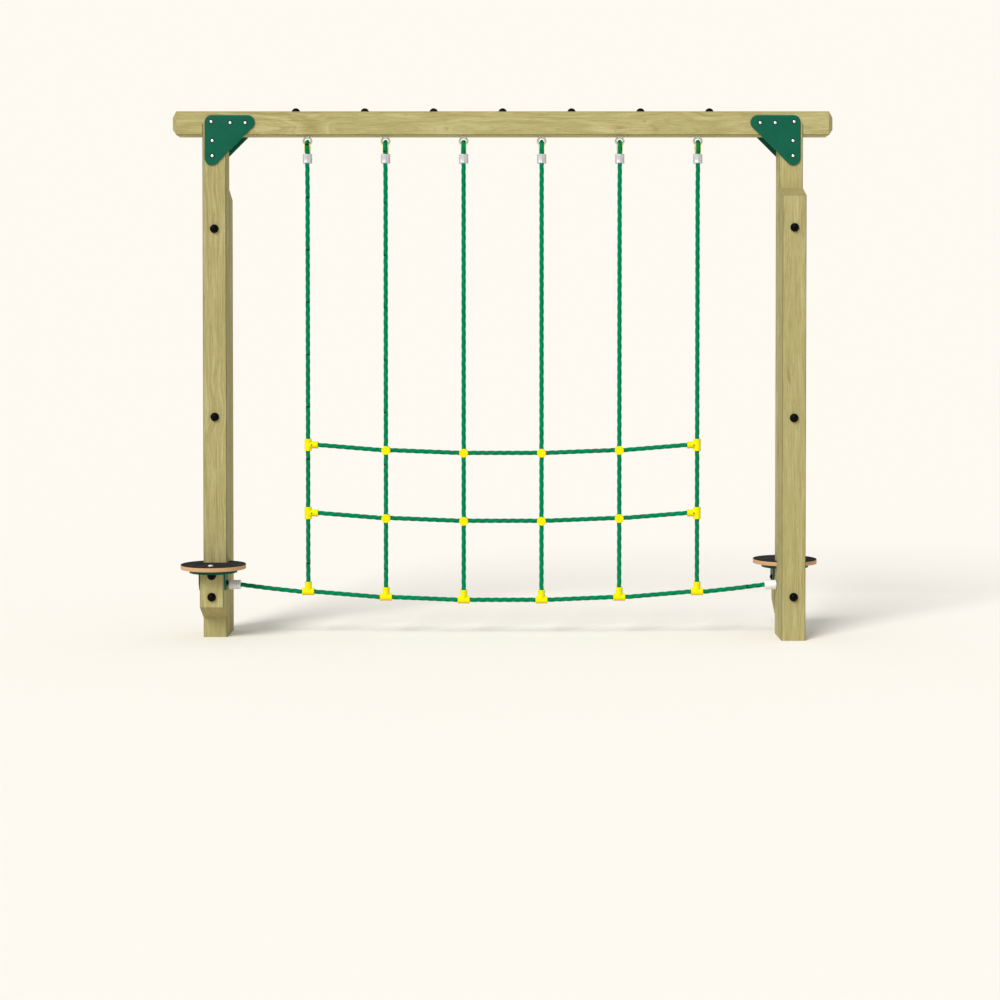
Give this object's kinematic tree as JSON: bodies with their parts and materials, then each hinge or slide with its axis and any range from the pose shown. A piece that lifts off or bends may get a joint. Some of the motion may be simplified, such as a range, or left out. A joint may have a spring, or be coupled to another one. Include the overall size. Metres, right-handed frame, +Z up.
{
  "type": "cargo climbing net",
  "caption": "Timber post-and-beam climbing frame with a hanging rope net tied off low between the posts and a small round step at each post.",
  "frame": {"origin": "on the ground, under the middle of the top beam and on its centre line", "axes": "+X along the beam towards the right-hand post, +Y from the front of the net to its back, +Z up"},
  "size_m": [2.51, 0.425, 2.017],
  "materials": {
    "timber": "planed pressure-treated pine, dry, pale olive tan with grain",
    "green_steel": "dark green powder coat on laser-cut steel",
    "bright_steel": "bright zinc-plated and stainless fasteners",
    "aluminium": "pressed aluminium ferrules, satin with press lines",
    "black_plastic": "black moulded plastic",
    "yellow_plastic": "bright yellow moulded plastic",
    "rope": "green twisted multi-strand play rope with a few dark flecks",
    "plywood": "plywood with visible layers along its edge",
    "grip": "black anti-slip sheet with a fine raised pattern"
  },
  "bodies": {
    "frame": {"top_beam": "timber", "left_post": "timber", "right_post": "timber", "left_support_post": "timber", "right_support_post": "timber", "left_step_block": "timber", "right_step_block": "timber", "left_front_plate": "green_steel", "left_rear_plate": "green_steel", "right_front_plate": "green_steel", "right_rear_plate": "green_steel", "plate_bolts": "bright_steel", "plate_nuts": "bright_steel", "post_bolts": "bright_steel", "post_washers": "bright_steel", "post_nuts": "bright_steel", "bolt_caps": "black_plastic", "step_block_screws": "bright_steel", "beam_screws": "bright_steel", "beam_screw_caps": "black_plastic", "eye_bolt_1": "bright_steel", "eye_bolt_2": "bright_steel", "eye_bolt_3": "bright_steel", "eye_bolt_4": "bright_steel", "eye_bolt_5": "bright_steel", "eye_bolt_6": "bright_steel", "eye_bolt_washers": "bright_steel", "eye_bolt_nuts": "bright_steel", "eye_bolt_plugs": "black_plastic", "left_step_bracket": "green_steel", "right_step_bracket": "green_steel", "left_step_board": "plywood", "right_step_board": "plywood", "left_step_grip": "grip", "right_step_grip": "grip", "step_dome_bolts": "bright_steel", "step_board_screws": "bright_steel", "bracket_bolts": "black_plastic", "bracket_nuts": "black_plastic", "left_rope_anchor": "aluminium", "right_rope_anchor": "aluminium", "bottom_rope_left_end": "rope", "bottom_rope_right_end": "rope"},
    "net": {"hanging_rope_1": "rope", "hanging_rope_2": "rope", "hanging_rope_3": "rope", "hanging_rope_4": "rope", "hanging_rope_5": "rope", "hanging_rope_6": "rope", "rope_thimbles": "yellow_plastic", "rope_ferrules": "aluminium", "upper_cross_rope": "rope", "lower_cross_rope": "rope", "bottom_rope": "rope", "side_connectors": "yellow_plastic", "bottom_connectors": "yellow_plastic", "cross_connectors": "yellow_plastic", "connector_screws": "bright_steel"}
  },
  "joints": [
    {"name": "net_swing", "type": "hinge", "parent": "frame", "child": "net", "pos_m": [0, 0, 1.8745], "axis": [1, 0, 0], "range_deg": [-2, 2], "deforming": ["bottom_rope_left_end", "bottom_rope_right_end"]}
  ]
}
